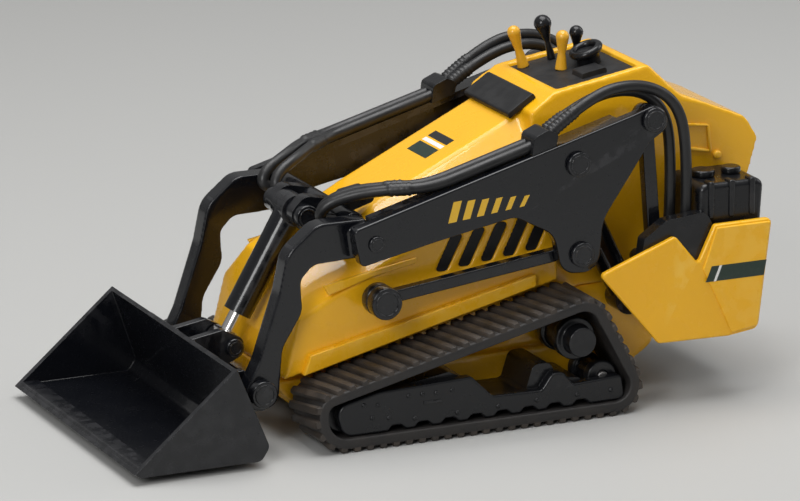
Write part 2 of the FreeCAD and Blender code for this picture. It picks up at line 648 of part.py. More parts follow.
def hose_tube(points, y, radius):
    """Round tube along straight runs joined by the largest tangent arcs that the runs allow."""
    runs = [V(x, y, z) for x, z in points]
    edges = []
    start = runs[0]
    for i in range(1, len(runs) - 1):
        back = (runs[i - 1] - runs[i])
        ahead = (runs[i + 1] - runs[i])
        shorter = min(back.Length, ahead.Length)
        back.normalize()
        ahead.normalize()
        half = back.getAngle(ahead) / 2
        reach = 0.45 * shorter
        bend = reach * math.tan(half)
        middle = (back + ahead).normalize()
        centre = runs[i] + middle * (bend / math.sin(half))
        first = runs[i] + back * reach
        last = runs[i] + ahead * reach
        edges.append(Part.LineSegment(start, first).toShape())
        edges.append(Part.Arc(first, centre - middle * bend, last).toShape())
        start = last
    edges.append(Part.LineSegment(start, runs[-1]).toShape())
    path = Part.Wire(edges)
    ring = Part.Wire(Part.Circle(runs[0], runs[1] - runs[0], radius).toShape())
    return path.makePipeShell([ring], True, False)


def hoses():
    radius = size("hose_radius")
    straights = []
    clamps = []
    for name, sign in SIDES.items():
        tubes = []
        for shift, loop_points in ((-0.5, INNER_LOOP), (0.5, OUTER_LOOP)):
            y = sign * (size("hose_centre") + shift * size("hose_gap"))
            tubes.append(hose_tube(loop_points, y, radius))
            lay = radius + 0.1
            front = (12.0, arm_top(12.0) + lay)
            rear = (-10.2, arm_top(-10.2) + lay)
            straights.append(along("arm_hose_%s" % name, front, rear, y, "sizes.hose_radius"))
        loop = doc.addObject("Part::Feature", "hose_loop_%s_tubes" % name)
        loop.Shape = Part.makeCompound(tubes)
        keep(loop, "hose_loop_" + name)
        saddle = [(-10.6, arm_top(-10.6) + 0.02), (-10.9, 40.4, 0.8), (-13.0, 41.3, 0.6), (-14.6, 40.6, 0.6),
                  (-14.2, arm_top(-14.2) + 0.02)]
        clamp = side_plate("hose_clamp_%s_body" % name, saddle, "14.2", "4.1", sign)
        holes = []
        for index, tube in enumerate(tubes):
            hole = doc.addObject("Part::Feature", "hose_clamp_hole_%s_%d" % (name, index))
            hole.Shape = tube
            holes.append(hole)
        clamps.append(cut("hose_clamp_%s_cut" % name, clamp, fuse("hose_clamp_holes_" + name, holes)))
    keep(group("arm_hoses_group", straights), "arm_hoses")
    keep(group("hose_clamps_group", clamps), "hose_clamps")


# ---------------------------------------------------------------- tilt cylinder and bucket

def tilt_cylinder():
    reach = 16.2
    tube = along("tilt_tube", TILT_TOP, between(TILT_TOP, TILT_FOOT, reach), 0, "sizes.tilt_barrel_radius")
    eye = across("tilt_eye", TILT_TOP, "-2.0", "4.0", "2.2")
    bore = across("tilt_bore", TILT_TOP, "-4.0", "8.0", "sizes.pin_bore")
    hollow = along("tilt_hollow", between(TILT_TOP, TILT_FOOT, 4.0), between(TILT_TOP, TILT_FOOT, 18.0), 0,
                   "sizes.tilt_rod_radius + 0.05")
    keep(cut("tilt_barrel_cut", fuse("tilt_barrel_solid", [tube, eye]), fuse("tilt_holes", [bore, hollow])),
         "tilt_barrel")
    rod = along("tilt_rod_bar", between(TILT_TOP, TILT_FOOT, 5.0), TILT_FOOT, 0, "sizes.tilt_rod_radius")
    foot = across("tilt_rod_eye", TILT_FOOT, "-2.0", "4.0", "1.75")
    keep(fuse("tilt_rod_solid", [rod, foot]), "tilt_rod")


BACK_FOOT = (30.4, 3.0)
BACK_TOP = (35.1, 14.4)
LIP = (50.0, 1.6)
FLOOR = 1.1


def bucket():
    """Bucket shell: floor, back and two side plates, open towards the front and top."""
    wall = size("bucket_wall")
    outer = [LIP, BACK_TOP, (BACK_FOOT[0], BACK_FOOT[1], 1.2), (31.6, FLOOR, 1.2), (49.0, FLOOR)]
    inner = [(51.5, FLOOR + wall), (51.5, 16.0), (BACK_TOP[0] + wall * 1.25, 16.0),
             (BACK_TOP[0] + wall * 0.6, 14.4), (32.0, 3.6, 1.0), (33.2, FLOOR + wall, 1.0)]
    solid = centred_plate("bucket_outer", outer, "sizes.bucket_half")
    hollow = centred_plate("bucket_hollow", inner, "sizes.bucket_half - sizes.bucket_wall")
    keep(cut("bucket_shell_cut", solid, hollow), "bucket_shell")
    edge = [(49.5, FLOOR + wall), (49.2, 2.35), (46.8, 2.35), (46.8, FLOOR + wall)]
    keep(centred_plate("cutting_edge_body", edge, "sizes.bucket_half - sizes.bucket_wall"), "cutting_edge")


def attach_plate():
    """Quick-attach plate on the bucket's back with ears for the arm pivots and the tilt rod."""
    lean = V(BACK_TOP[0] - BACK_FOOT[0], BACK_TOP[1] - BACK_FOOT[1], 0).normalize()
    low = (BACK_FOOT[0] + lean.x * 1.5, BACK_FOOT[1] + lean.y * 1.5)
    high = (BACK_FOOT[0] + lean.x * 10.6, BACK_FOOT[1] + lean.y * 10.6)
    thick = 1.1
    back = V(-lean.y, lean.x, 0) * thick
    plate = centred_plate("attach_plate_body",
                          [low, high, (high[0] + back.x, high[1] + back.y), (low[0] + back.x, low[1] + back.y)],
                          "(sizes.leg_inner - 0.4)")
    pieces = [plate]
    for name, sign in SIDES.items():
        ear = [(31.4, 5.6), (32.6, 10.6), (29.4, 10.8, 1.6), (26.6, 8.5, 2.0), (28.6, 6.2, 1.6)]
        pieces.append(side_plate("pivot_ear_" + name, ear, "(sizes.leg_inner - 1.9)", "1.5", sign))
        rod_ear = [(32.2, 9.4), (33.9, 13.4), (29.2, 14.2, 1.4), (26.2, 12.6, 1.4), (25.9, 10.4, 1.4),
                   (28.2, 9.4, 1.0)]
        pieces.append(side_plate("rod_ear_" + name, rod_ear, "2.3", "1.4", sign))
    keep(fuse("attach_plate_solid", pieces), "attach_plate")
    ear_face = size("leg_inner") - 0.4
    leg_face = size("leg_inner") + size("leg_plate") + 0.1
    pins = []
    for name, sign in SIDES.items():
        pins.append(pin_with_head("bucket_pin_" + name, BUCKET_PIVOT, ear_face, leg_face, (1.9, 1.5), sign))
        pins.append(across_side("rod_pin_head_" + name, TILT_FOOT, "3.7", "0.8", "1.3", sign))
    keep(group("bucket_pins_group", pins), "bucket_pins")


lower_chassis()
body_shell()
console()
rear_parts()
underside()
for side_name, side_sign in SIDES.items():
    track(side_name, side_sign)
axles()
fixed_pins()
for side_name, side_sign in SIDES.items():
    link_bar("control_link_" + side_name, PIVOT_A, PIVOT_B, "2.25", "2.3", 1.7, side_sign, [PIVOT_A])
    link_bar("rear_link_" + side_name, PIVOT_D, PIVOT_C, "1.9", "1.7", 1.9, side_sign, [PIVOT_D, PIVOT_C])
    lift_cylinder(side_name, side_sign)
    arm_side(side_name, side_sign)
arm_cross_parts()
arm_fasteners()
hoses()
tilt_cylinder()
bucket()
attach_plate()

doc.recompute()
for item in doc.Objects:
    if "Invalid" in item.State or "Error" in item.State:
        raise ValueError("object failed: " + item.Name)
os.makedirs("parts", exist_ok=True)
for item in nodes:
    if item.Shape.isNull() or not item.Shape.isValid():
        raise ValueError("bad shape: " + item.Label)
    item.Shape.exportStep("parts/%s.step" % item.Label)
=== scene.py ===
import json
import math

import bmesh
import bpy
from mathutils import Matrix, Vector


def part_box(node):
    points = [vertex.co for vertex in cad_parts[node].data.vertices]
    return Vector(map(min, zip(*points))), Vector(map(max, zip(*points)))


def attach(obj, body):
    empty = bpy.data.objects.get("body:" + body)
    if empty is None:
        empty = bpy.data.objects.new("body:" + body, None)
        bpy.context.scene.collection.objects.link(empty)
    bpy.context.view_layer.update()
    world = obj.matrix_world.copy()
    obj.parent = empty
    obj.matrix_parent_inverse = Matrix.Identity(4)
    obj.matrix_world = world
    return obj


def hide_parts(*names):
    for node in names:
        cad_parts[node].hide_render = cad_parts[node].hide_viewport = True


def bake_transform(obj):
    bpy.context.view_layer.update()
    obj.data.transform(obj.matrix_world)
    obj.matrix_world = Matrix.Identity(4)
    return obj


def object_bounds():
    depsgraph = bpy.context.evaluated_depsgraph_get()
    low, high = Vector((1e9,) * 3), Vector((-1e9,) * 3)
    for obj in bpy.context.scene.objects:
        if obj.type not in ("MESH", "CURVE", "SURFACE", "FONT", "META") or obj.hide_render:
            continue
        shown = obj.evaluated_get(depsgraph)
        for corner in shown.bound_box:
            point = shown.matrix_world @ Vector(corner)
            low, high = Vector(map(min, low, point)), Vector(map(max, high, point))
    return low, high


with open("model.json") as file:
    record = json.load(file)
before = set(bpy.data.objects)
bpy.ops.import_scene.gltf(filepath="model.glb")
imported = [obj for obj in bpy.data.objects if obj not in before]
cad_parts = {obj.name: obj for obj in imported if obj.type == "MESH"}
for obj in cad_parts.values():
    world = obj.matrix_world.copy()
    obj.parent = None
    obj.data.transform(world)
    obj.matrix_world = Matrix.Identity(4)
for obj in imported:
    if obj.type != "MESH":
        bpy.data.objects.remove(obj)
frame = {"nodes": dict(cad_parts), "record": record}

cad_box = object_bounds()

# ------------------------------------------------------------------ table, lights and camera
# The model stands on a seamless pale grey sweep under one wide overhead softbox, with weaker
# softboxes at its left front and behind it and a small lamp for crisp highlights. The room is
# brighter above than around.

MM = 0.001
low, high = (Vector(corner) for corner in cad_box)
middle = (low + high) / 2


def add_object(name, mesh):
    item = bpy.data.objects.new(name, mesh)
    bpy.context.collection.objects.link(item)
    return item


SWEEP_REACH = 3.0
sweep_mesh = bpy.data.meshes.new("studio_sweep")
sweep_mesh.from_pydata([(-SWEEP_REACH, -SWEEP_REACH, low.z), (SWEEP_REACH, -SWEEP_REACH, low.z),
                        (SWEEP_REACH, SWEEP_REACH, low.z), (-SWEEP_REACH, SWEEP_REACH, low.z)],
                       [], [(0, 1, 2, 3)])
sweep = add_object("studio_sweep", sweep_mesh)
sweep_paint = bpy.data.materials.new("pale_sweep")
sweep_paint.use_nodes = True
sweep_shader = sweep_paint.node_tree.nodes["Principled BSDF"]
sweep_shader.inputs["Base Color"].default_value = (0.46, 0.46, 0.45, 1.0)
sweep_shader.inputs["Roughness"].default_value = 0.6
sweep_shader.inputs["Specular IOR Level"].default_value = 0.2
sweep_mesh.materials.append(sweep_paint)

room = bpy.data.worlds.new("soft_room")
room.use_nodes = True
room_tree = room.node_tree
upward = room_tree.nodes.new("ShaderNodeSeparateXYZ")
room_tree.links.new(room_tree.nodes.new("ShaderNodeTexCoord").outputs["Generated"], upward.inputs[0])
fade = room_tree.nodes.new("ShaderNodeMapRange")
fade.inputs["From Min"].default_value = -0.1
fade.inputs["From Max"].default_value = 0.9
fade.inputs["To Min"].default_value = 0.12
fade.inputs["To Max"].default_value = 0.42
room_tree.links.new(upward.outputs["Z"], fade.inputs["Value"])
room_tree.links.new(fade.outputs["Result"], room_tree.nodes["Background"].inputs["Strength"])
room_tree.nodes["Background"].inputs["Color"].default_value = (1.0, 0.995, 0.985, 1.0)
bpy.context.scene.world = room


def softbox(name, place, width, height, power):
    """Rectangular area light at a place in metres, turned to the model."""
    light = bpy.data.lights.new(name, "AREA")
    light.shape = "RECTANGLE"
    light.size = width
    light.size_y = height
    light.energy = power
    lamp = bpy.data.objects.new(name, light)
    lamp.location = place
    lamp.rotation_euler = (middle - Vector(place)).to_track_quat("-Z", "Y").to_euler()
    bpy.context.collection.objects.link(lamp)


softbox("top_softbox", (-0.02, -0.02, 0.42), 0.36, 0.28, 1.5)
softbox("side_softbox", (0.34, 0.30, 0.26), 0.16, 0.20, 0.95)
softbox("rear_softbox", (-0.42, 0.02, 0.26), 0.20, 0.30, 0.35)
softbox("small_lamp", (0.10, 0.16, 0.46), 0.06, 0.06, 0.18)

CAMERA_DISTANCE = 0.76766
camera_yaw = math.radians(24.753)
camera_rise = math.radians(15.646)
aim = Vector((0.00087, 0.0, low.z + 0.021241))
eye = aim + CAMERA_DISTANCE * Vector((math.sin(camera_yaw) * math.cos(camera_rise),
                                      math.cos(camera_yaw) * math.cos(camera_rise), math.sin(camera_rise)))
camera_data = bpy.data.cameras.new("main_camera")
camera_data.sensor_width = 36.0
camera_data.lens = 248.3
camera_data.clip_start = 0.01
camera = bpy.data.objects.new("main_camera", camera_data)
camera.location = eye
camera.rotation_euler = (aim - eye).to_track_quat("-Z", "Y").to_euler()
bpy.context.collection.objects.link(camera)
bpy.context.scene.camera = camera
bpy.context.scene.view_settings.view_transform = "Standard"

# ------------------------------------------------------------------ yellow body castings
# Upper and lower body are zinc castings, sprayed with thick gloss yellow enamel that rounds every edge.
# Its hollows carry painted shade, and its ridges are painted lighter: wear mixed with a painted highlight.

nodes = frame["nodes"]
body_of = {name: body for body, names in frame["record"]["behaviour"]["bodies"].items() for name in names}


def new_group(name, inputs, outputs):
    """Empty shader group; inputs are (label, kind, default or None), outputs (label, kind)."""
    tree = bpy.data.node_groups.new(name, "ShaderNodeTree")
    for label, kind, value in inputs:
        socket = tree.interface.new_socket(label, in_out="INPUT", socket_type=kind)
        if value is not None:
            socket.default_value = value
    for label, kind in outputs:
        tree.interface.new_socket(label, in_out="OUTPUT", socket_type=kind)
    return tree, tree.nodes.new("NodeGroupInput").outputs, tree.nodes.new("NodeGroupOutput").inputs


def feed(tree, socket, value):
    """Give a socket either a fixed value or a link."""
    if isinstance(value, bpy.types.NodeSocket):
        tree.links.new(value, socket)
    else:
        socket.default_value = value


def sums(tree, operation, first, second, clamp=False):
    node = tree.nodes.new("ShaderNodeMath")
    node.operation = operation
    node.use_clamp = clamp
    feed(tree, node.inputs[0], first)
    feed(tree, node.inputs[1], second)
    return node.outputs[0]


def cloud(tree, place, size_mm, detail, roughness=0.5):
    """Noise whose patches are about size_mm across, from 0 to 1."""
    node = tree.nodes.new("ShaderNodeTexNoise")
    node.inputs["Scale"].default_value = 1.0 / (size_mm * MM)
    node.inputs["Detail"].default_value = detail
    node.inputs["Roughness"].default_value = roughness
    tree.links.new(place, node.inputs["Vector"])
    return node.outputs["Fac"]


def remap(tree, value, low_in, high_in, low_out, high_out):
    node = tree.nodes.new("ShaderNodeMapRange")
    numbers = {"From Min": low_in, "From Max": high_in, "To Min": low_out, "To Max": high_out}
    for label, number in numbers.items():
        node.inputs[label].default_value = number
    tree.links.new(value, node.inputs["Value"])
    return node.outputs["Result"]


def blend_colour(tree, factor, first, second):
    node = tree.nodes.new("ShaderNodeMix")
    node.data_type = "RGBA"
    feed(tree, node.inputs[0], factor)
    feed(tree, node.inputs[6], first)
    feed(tree, node.inputs[7], second)
    return node.outputs[2]


def build_sprayed_coat():
    """Sprayed coat: wandering tone, painted shade in hollows, worn ridges with a painted highlight, orange peel
    and dust specks.
    """
    tree, given, result = new_group("sprayed_coat", [
        ("Position", "NodeSocketVector", None),
        ("Colour", "NodeSocketColor", (0.8, 0.5, 0.1, 1.0)),
        ("Mottle And Shade Colour", "NodeSocketColor", (0.5, 0.3, 0.05, 1.0)),
        ("Wear And Highlight Colour", "NodeSocketColor", (1.0, 0.8, 0.4, 1.0)),
        ("Wear And Highlight", "NodeSocketFloat", 0.3),
        ("Roughness", "NodeSocketFloat", 0.2),
        ("Peel", "NodeSocketFloat", 1.0),
    ], [("Colour", "NodeSocketColor"), ("Roughness", "NodeSocketFloat"), ("Height", "NodeSocketFloat")])
    place = given["Position"]
    curve = tree.nodes.new("ShaderNodeNewGeometry").outputs["Pointiness"]
    # Lighter colour on the ridges: edge wear mixed with a painted highlight.
    edge = remap(tree, curve, 0.515, 0.58, 0.0, 1.0)
    patchy = remap(tree, cloud(tree, place, 2.0, 4.0), 0.42, 0.60, 0.0, 1.0)
    wear_and_highlight = sums(tree, "MULTIPLY", sums(tree, "MULTIPLY", edge, patchy), given["Wear And Highlight"], clamp=True)
    # Darker colour in the hollows: painted shade where light is blocked.
    painted_shade = remap(tree, curve, 0.485, 0.43, 0.0, 0.8)
    wander = remap(tree, cloud(tree, place, 16.0, 2.0), 0.3, 0.7, 0.0, 0.10)
    tone = blend_colour(tree, wander, given["Colour"], given["Mottle And Shade Colour"])
    tone = blend_colour(tree, painted_shade, tone, given["Mottle And Shade Colour"])
    tone = blend_colour(tree, wear_and_highlight, tone, given["Wear And Highlight Colour"])
    tree.links.new(tone, result["Colour"])
    smear = remap(tree, cloud(tree, place, 6.0, 5.0, 0.6), 0.35, 0.7, -0.03, 0.06)
    speck = remap(tree, cloud(tree, place, 0.45, 2.0), 0.66, 0.74, 0.0, 0.10)
    rough = sums(tree, "ADD", given["Roughness"], smear)
    rough = sums(tree, "ADD", rough, speck)
    rough = sums(tree, "ADD", rough, sums(tree, "MULTIPLY", wear_and_highlight, 0.2), clamp=True)
    tree.links.new(rough, result["Roughness"])
    peel = sums(tree, "MULTIPLY", cloud(tree, place, 1.3, 2.0), given["Peel"])
    tree.links.new(sums(tree, "ADD", peel, sums(tree, "MULTIPLY", speck, 1.5)), result["Height"])
    return tree


sprayed_coat = build_sprayed_coat()


def new_material(name):
    """Material, its node tree, its Principled shader and its object coordinates."""
    material = bpy.data.materials.new(name)
    material.use_nodes = True
    tree = material.node_tree
    place = tree.nodes.new("ShaderNodeTexCoord").outputs["Object"]
    return material, tree, tree.nodes["Principled BSDF"], place


def add_relief(tree, shader, height, strength, depth_mm):
    """Bump of the shader's normal from a height mask."""
    bump = tree.nodes.new("ShaderNodeBump")
    bump.inputs["Strength"].default_value = strength
    bump.inputs["Distance"].default_value = depth_mm * MM
    tree.links.new(height, bump.inputs["Height"])
    tree.links.new(bump.outputs["Normal"], shader.inputs["Normal"])


def surfaced(name, group, values, relief, depth_mm):
    """Material on a shared surface group, with the group's inputs set by their labels."""
    material, tree, shader, place = new_material(name)
    surface = tree.nodes.new("ShaderNodeGroup")
    surface.node_tree = group
    tree.links.new(place, surface.inputs["Position"])
    for label, value in values.items():
        surface.inputs[label].default_value = value
    tree.links.new(surface.outputs["Colour"], shader.inputs["Base Color"])
    tree.links.new(surface.outputs["Roughness"], shader.inputs["Roughness"])
    add_relief(tree, shader, surface.outputs["Height"], relief, depth_mm)
    return material, shader


# The second colour is painted shade for the hollows and the darker end of the mottle; the third is edge wear
# mixed with a painted highlight for the ridges.
def coated(name, colour, mottle_and_shade, wear_and_highlight_colour, wear_and_highlight, roughness, peel, relief, coat):
    """Gloss or satin coat over a hard surface, on the shared sprayed coat group."""
    values = {"Colour": (*colour, 1.0), "Mottle And Shade Colour": (*mottle_and_shade, 1.0), "Wear And Highlight Colour": (*wear_and_highlight_colour, 1.0),
              "Wear And Highlight": wear_and_highlight, "Roughness": roughness, "Peel": peel}
    material, shader = surfaced(name, sprayed_coat, values, relief, 0.08)
    shader.inputs["Specular IOR Level"].default_value = 0.3
    shader.inputs["Coat Weight"].default_value = coat
    shader.inputs["Coat Roughness"].default_value = 0.06
    return material


yellow_enamel = coated("yellow_enamel", (0.90, 0.465, 0.010), (0.62, 0.245, 0.004), (1.0, 0.66, 0.12),
                       0.4, 0.26, 1.0, 0.30, 0.4)


def merged_copy(node, name):
    """Mesh of a solid with its triangles joined along their shared edges."""
    mesh = bpy.data.meshes.new(name)
    shape = bmesh.new()
    shape.from_mesh(nodes[node].data)
    bmesh.ops.remove_doubles(shape, verts=shape.verts, dist=0.002 * MM)
    shape.to_mesh(mesh)
    shape.free()
    return mesh


def applied(item):
    """Turn the item's modifiers into its mesh."""
    graph = bpy.context.evaluated_depsgraph_get()
    mesh = bpy.data.meshes.new_from_object(item.evaluated_get(graph))
    item.modifiers.clear()
    old = item.data
    item.data = mesh
    bpy.data.meshes.remove(old)
    return item


def smooth_shaded(mesh):
    mesh.polygons.foreach_set("use_smooth", [True] * len(mesh.polygons))


def finish(item, material, body):
    """Material, body and slot of a made piece."""
    item.data.materials.clear()
    item.data.materials.append(material)
    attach(item, body)
    return item


def enamelled_casting(node, material, voxel, rounds):
    """Casting whose edges are rounded by remeshing and smoothing its solid, as thick paint does."""
    item = add_object(node + "_finish", merged_copy(node, node + "_finish"))
    remesh = item.modifiers.new("paint_skin", "REMESH")
    remesh.mode = "VOXEL"
    remesh.voxel_size = voxel * MM
    settle = item.modifiers.new("settle", "SMOOTH")
    settle.factor = 0.5
    settle.iterations = rounds
    applied(item)
    smooth_shaded(item.data)
    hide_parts(node)
    return finish(item, material, body_of[node])


enamelled_casting("body_shell", yellow_enamel, 0.30, 6)
enamelled_casting("lower_chassis", yellow_enamel, 0.34, 5)


def closed_mesh(name, shape):
    """Mesh of a finished bmesh, with its faces turned outwards."""
    bmesh.ops.recalc_face_normals(shape, faces=shape.faces)
    mesh = bpy.data.meshes.new(name)
    shape.to_mesh(mesh)
    shape.free()
    return mesh


def rounded_off(item, edge, segments, angle):
    """Round the sharp edges of an item by edge mm and even out its shading."""
    bevel = item.modifiers.new("soft_edges", "BEVEL")
    bevel.width = edge * MM
    bevel.segments = segments
    bevel.limit_method = "ANGLE"
    bevel.angle_limit = math.radians(angle)
    applied(item)
    smooth_shaded(item.data)
    item.modifiers.new("even_shading", "WEIGHTED_NORMAL").keep_sharp = True
    applied(item)


def prism_faces(shape, outline, start, end):
    """Add a prism to a bmesh: outline in (x, z) millimetres between y = start and y = end."""
    rings = [[shape.verts.new((x * MM, y * MM, z * MM)) for x, z in outline] for y in (start, end)]
    count = len(outline)
    shape.faces.new(rings[0])
    shape.faces.new(rings[1][::-1])
    for i in range(count):
        j = (i + 1) % count
        shape.faces.new((rings[0][i], rings[1][i], rings[1][j], rings[0][j]))


def prisms(name, sections, edge, material, body, segments=3):
    """One piece of rounded prisms; sections are (outline in (x, z) mm, start y, end y)."""
    shape = bmesh.new()
    for outline, start, end in sections:
        prism_faces(shape, outline, start, end)
    item = add_object(name, closed_mesh(name, shape))
    if edge:
        rounded_off(item, edge, segments, 25.0)
    return finish(item, material, body)


# ------------------------------------------------------------------ relief on the castings
# Cast with the body: the ledge above each track, the raised panel edge in front of the control
# link, and the pressed ribs and the plug boss on the rear cowl.

SIDES = {"left": 1, "right": -1}
LEDGE = [(21.6, 9.4), (20.6, 12.2), (-13.5, 19.6), (-13.5, 17.9)]
PANEL_STEP = [(17.6, 20.2), (18.4, 21.6), (4.4, 24.1), (4.6, 23.2), (11.2, 22.0)]
COWL_RIBS = [[(-38.2, 37.7), (-41.9, 37.2), (-41.9, 36.8), (-38.2, 37.2)],
             [(-38.2, 34.4), (-42.2, 33.5), (-42.2, 33.0), (-38.2, 33.8)],
             [(-41.7, 37.2), (-42.2, 37.0), (-42.6, 33.2), (-42.1, 33.0)]]
for side, sign in SIDES.items():
    relief = [(LEDGE, 12.4 * sign, 13.9 * sign), (PANEL_STEP, 12.6 * sign, 13.35 * sign)]
    relief += [(rib, 9.4 * sign, 10.25 * sign) for rib in COWL_RIBS]
    prisms("body_relief_" + side, relief, 0.22, yellow_enamel, "root")


def lathe(shape, profile, centre, axis, segments):
    """Add a turned solid to a bmesh; profile is (radius, height) from bottom to top, in mm."""
    axis = Vector(axis).normalized()
    side = axis.orthogonal().normalized()
    third = axis.cross(side)
    centre = Vector(centre)
    rings = []
    for radius, height in profile:
        middle_point = centre + axis * height
        if radius < 1e-6:
            rings.append([shape.verts.new(middle_point * MM)])
            continue
        ring = []
        for k in range(segments):
            angle = 2 * math.pi * k / segments
            spoke = side * math.cos(angle) + third * math.sin(angle)
            ring.append(shape.verts.new((middle_point + spoke * radius) * MM))
        rings.append(ring)
    for lower, upper in zip(rings, rings[1:]):
        for k in range(segments):
            j = (k + 1) % segments
            if len(lower) == 1:
                shape.faces.new((lower[0], upper[j], upper[k]))
            elif len(upper) == 1:
                shape.faces.new((lower[k], lower[j], upper[0]))
            else:
                shape.faces.new((lower[k], lower[j], upper[j], upper[k]))


def turned(name, jobs, material, body, segments=40):
    """One piece of turned solids; each job is (profile, centre in mm, axis)."""
    shape = bmesh.new()
    for profile, centre, axis in jobs:
        lathe(shape, profile, centre, axis, segments)
    mesh = closed_mesh(name, shape)
    smooth_shaded(mesh)
    return finish(add_object(name, mesh), material, body)


def rounded_disc(radius, height, edge, steps=5):
    """Profile of a flat disc with a rounded upper rim, closed at both ends."""
    profile = [(0.0, 0.0), (radius, 0.0)]
    for k in range(steps + 1):
        angle = math.pi / 2 * k / steps
        profile.append((radius - edge + edge * math.cos(angle), height - edge + edge * math.sin(angle)))
    return profile + [(0.0, height)]


turned("cowl_plugs", [(rounded_disc(0.62, 1.0, 0.35), (-43.4, 9.6 * sign, 32.6), (0, sign, 0))
                      for sign in SIDES.values()],
       yellow_enamel, "root", 24)

# ------------------------------------------------------------------ side guards
# Yellow guards stand outside the tanks. Each is a pressed plate whose rear panel stands a little
# proud of the front one, from a crease that runs down from the notch.


def softened(node, material, edge=0.2, segments=3, angle=32.0):
    """Copy of a solid with its sharp edges rounded by edge mm."""
    source = merged_copy(node, node + "_finish")
    shape = bmesh.new()
    shape.from_mesh(source)
    bpy.data.meshes.remove(source)
    bmesh.ops.dissolve_limit(shape, angle_limit=math.radians(1.0), verts=shape.verts, edges=shape.edges)
    item = add_object(node + "_finish", closed_mesh(node + "_finish", shape))
    rounded_off(item, edge, segments, angle)
    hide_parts(node)
    return finish(item, material, body_of[node])


GUARD_FACE = 21.0
PANEL_RISE = 0.28
for side, sign in SIDES.items():
    softened("side_guard_" + side, yellow_enamel, 0.3, 4)
    rear_panel = [(-35.6, 19.6), (-37.7, 25.4), (-46.1, 25.4), (-44.3, 10.5), (-40.2, 9.9), (-38.3, 14.2)]
    prisms("guard_panel_" + side,
           [(rear_panel, (GUARD_FACE - 0.4) * sign, (GUARD_FACE + PANEL_RISE) * sign)], 0.2,
           yellow_enamel, "root")

# ------------------------------------------------------------------ black castings of the loader arms
# Arm plates, legs, cross tube, ears, links and cylinders are separate zinc castings in gloss
# black enamel. Their paint is thick too, with painted shade in the hollows and pale rubs on the corners that
# get handled, mixed with a painted highlight.

# Darker second colour: painted shade in hollows; paler third colour: wear mixed with a painted highlight on
# ridges.
black_enamel = coated("black_enamel", (0.0040, 0.0046, 0.0066), (0.002, 0.002, 0.003), (0.055, 0.055, 0.06),
                      0.35, 0.24, 1.0, 0.35, 0.5)

for node in ("arm_side", "control_link", "rear_link", "lift_barrel", "lift_rod"):
    for side in SIDES:
        softened("%s_%s" % (node, side), black_enamel, 0.22)
for side in SIDES:
    enamelled_casting("arm_leg_" + side, black_enamel, 0.18, 8)
for node in ("arm_cross_tube", "tilt_barrel", "attach_plate"):
    softened(node, black_enamel, 0.2)
softened("tilt_ears", black_enamel, 0.3)
softened("bucket_shell", black_enamel, 0.06)
softened("cutting_edge", black_enamel, 0.04)

# ------------------------------------------------------------------ pins and rivets
# Turned steel pins and rivets join the arms, links and cylinders. Their heads are painted with
# the castings, and each has a rounded rim.

for node in ("arm_rivets", "rear_pivot_pins", "tilt_top_pin", "bucket_pins", "control_link_pins",
             "rear_link_pins", "lift_foot_pins"):
    softened(node, black_enamel, 0.25, 4)

# ------------------------------------------------------------------ black plastic parts
# Tanks, caps, louvre slats, console mat, hood pad, levers, cup ring, platform, base plate,
# track frames and wheels are injection-moulded in black, some of them satin.

# Like the enamels, these plastics carry painted shade in their hollows and lighter edges, wear mixed with a
# painted highlight.
black_plastic = coated("black_plastic", (0.0065, 0.007, 0.0085), (0.003, 0.003, 0.004), (0.055, 0.055, 0.057),
                       0.25, 0.28, 1.0, 0.30, 0.25)
satin_plastic = coated("satin_black_plastic", (0.013, 0.0132, 0.014), (0.007, 0.007, 0.008),
                       (0.05, 0.05, 0.05), 0.2, 0.48, 1.6, 0.45, 0.0)
yellow_plastic = coated("yellow_plastic", (0.78, 0.40, 0.02), (0.55, 0.23, 0.008), (0.95, 0.62, 0.15),
                        0.3, 0.24, 1.0, 0.3, 0.5)
for node in ("side_tank_left", "side_tank_right", "tank_caps", "auxiliary_coupler", "hose_clamps",
             "loader_lever", "auxiliary_lever", "cup_ring", "track_frame_left", "track_frame_right"):
    softened(node, black_plastic, 0.3)
for node in ("console_mat", "hood_pad", "operator_platform", "base_plate", "side_louvres"):
    softened(node, satin_plastic, 0.15)
for node in ("drive_lever_left", "drive_lever_right"):
    softened(node, yellow_plastic, 0.15)
for node in ("drive_wheel", "rear_idler", "front_idler"):
    for side in SIDES:
        softened("%s_%s" % (node, side), black_plastic, 0.25)

# ------------------------------------------------------------------ raised rims on the heads
# Each pin and rivet head carries a low raised ring inside its rim, where the paint stays thin.

joint_place = {joint["name"]: Vector(joint["pos_m"]) / MM for joint in frame["record"]["behaviour"]["joints"]
               if joint["type"] == "hinge"}


def new_tree(name, inputs):
    """Geometry tree with a geometry input and output and the named inputs (label, kind)."""
    tree = bpy.data.node_groups.new(name, "GeometryNodeTree")
    tree.interface.new_socket("Geometry", in_out="INPUT", socket_type="NodeSocketGeometry")
    for label, kind in inputs:
        tree.interface.new_socket(label, in_out="INPUT", socket_type=kind)
    tree.interface.new_socket("Geometry", in_out="OUTPUT", socket_type="NodeSocketGeometry")
    return tree, tree.nodes.new("NodeGroupInput").outputs, tree.nodes.new("NodeGroupOutput").inputs


def grown(name, mesh, tree, values):
    """Mesh of a base mesh after a geometry tree, with its inputs set by their labels."""
    item = add_object(name, mesh)
    modifier = item.modifiers.new(name, "NODES")
    modifier.node_group = tree
    for socket in tree.interface.items_tree:
        if socket.in_out == "INPUT" and socket.name in values:
            modifier[socket.identifier] = values[socket.name]
    bpy.context.view_layer.update()
    return applied(item)


